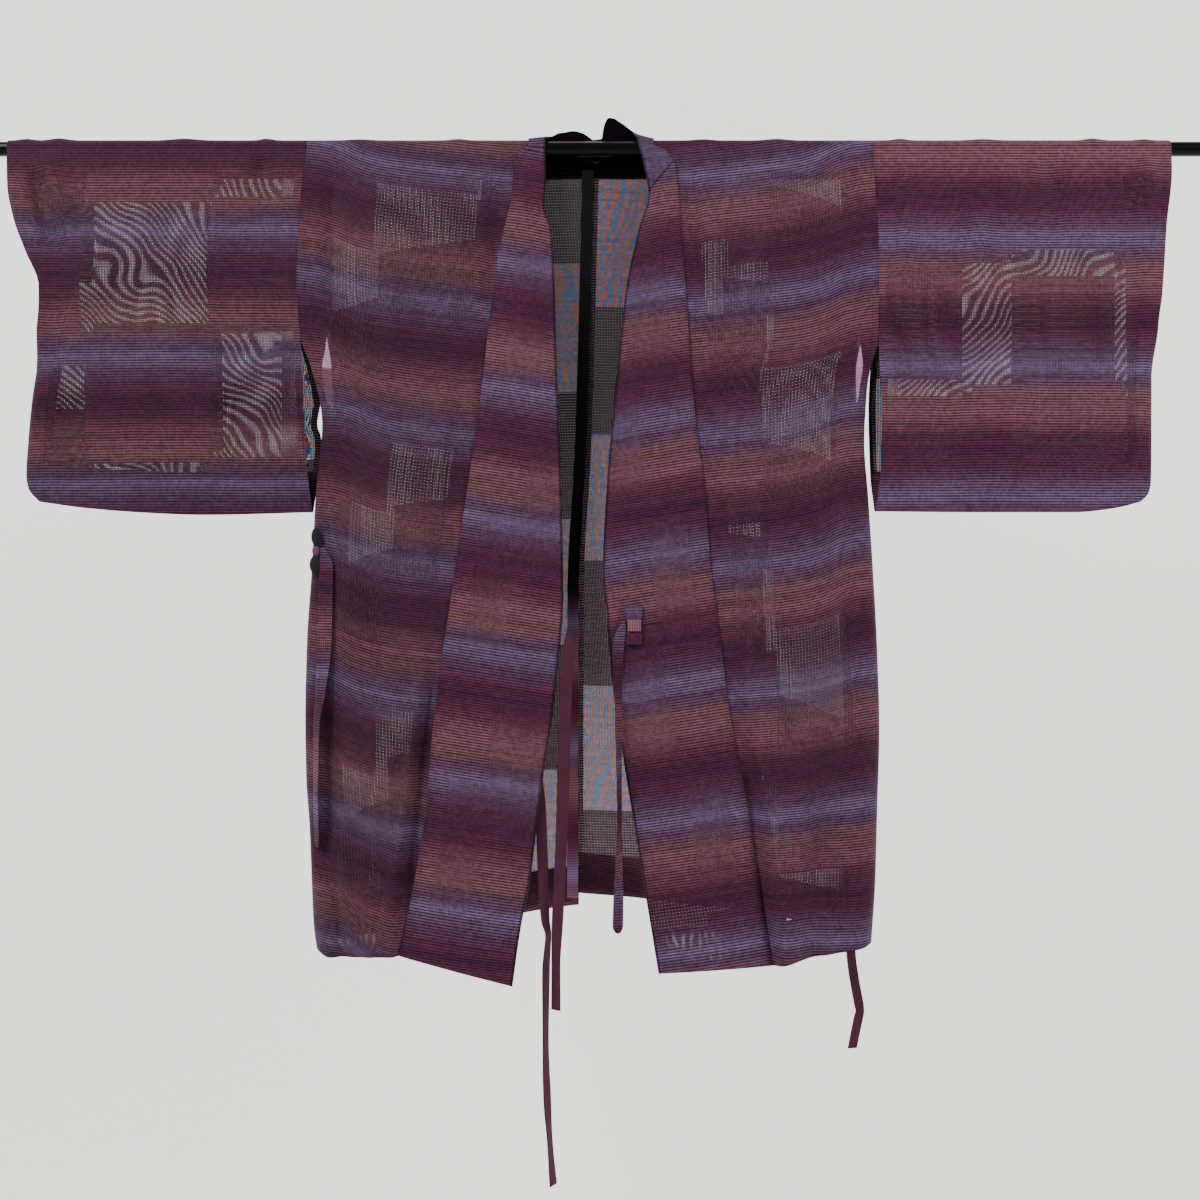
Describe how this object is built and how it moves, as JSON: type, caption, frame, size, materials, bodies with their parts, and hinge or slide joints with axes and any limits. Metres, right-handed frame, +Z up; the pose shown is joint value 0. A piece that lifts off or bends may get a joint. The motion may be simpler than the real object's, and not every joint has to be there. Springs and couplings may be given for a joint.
{
  "type": "kimono coat on a hanging rod",
  "caption": "Sheer kimono coat with wide sleeves, a doubled collar and hanging cloth ties, open in front and hung flat on a straight round rod that passes through both sleeves.",
  "frame": {"origin": "on the rod's axis, midway between its ends", "axes": "+X along the rod towards the wearer's left, -Y out of the coat's front, +Z up"},
  "size_m": [1.48, 0.1181, 1.2112],
  "materials": {
    "cloth": "sheer striped gauze",
    "collar_cloth": "doubled striped gauze",
    "tie_cloth": "plain silk",
    "wrap_cloth": "ribbed silk",
    "rod_paint": "gloss"
  },
  "bodies": {
    "root": {"body_right": "cloth", "body_left": "cloth", "sleeve_right": "cloth", "sleeve_left": "cloth", "centre_back_allowance": "cloth", "collar_right": "collar_cloth", "collar_left": "collar_cloth", "tab_left": "collar_cloth", "tie_left_collar": "collar_cloth", "tab_left_wrap": "wrap_cloth", "knot_right_wrap": "wrap_cloth", "tie_right_collar": "tie_cloth", "tie_right_inner": "tie_cloth", "tie_left_inner": "tie_cloth", "tie_right_side": "tie_cloth", "knot_right_upper": "tie_cloth", "knot_right_lower": "tie_cloth", "rod": "rod_paint"}
  },
  "joints": []
}
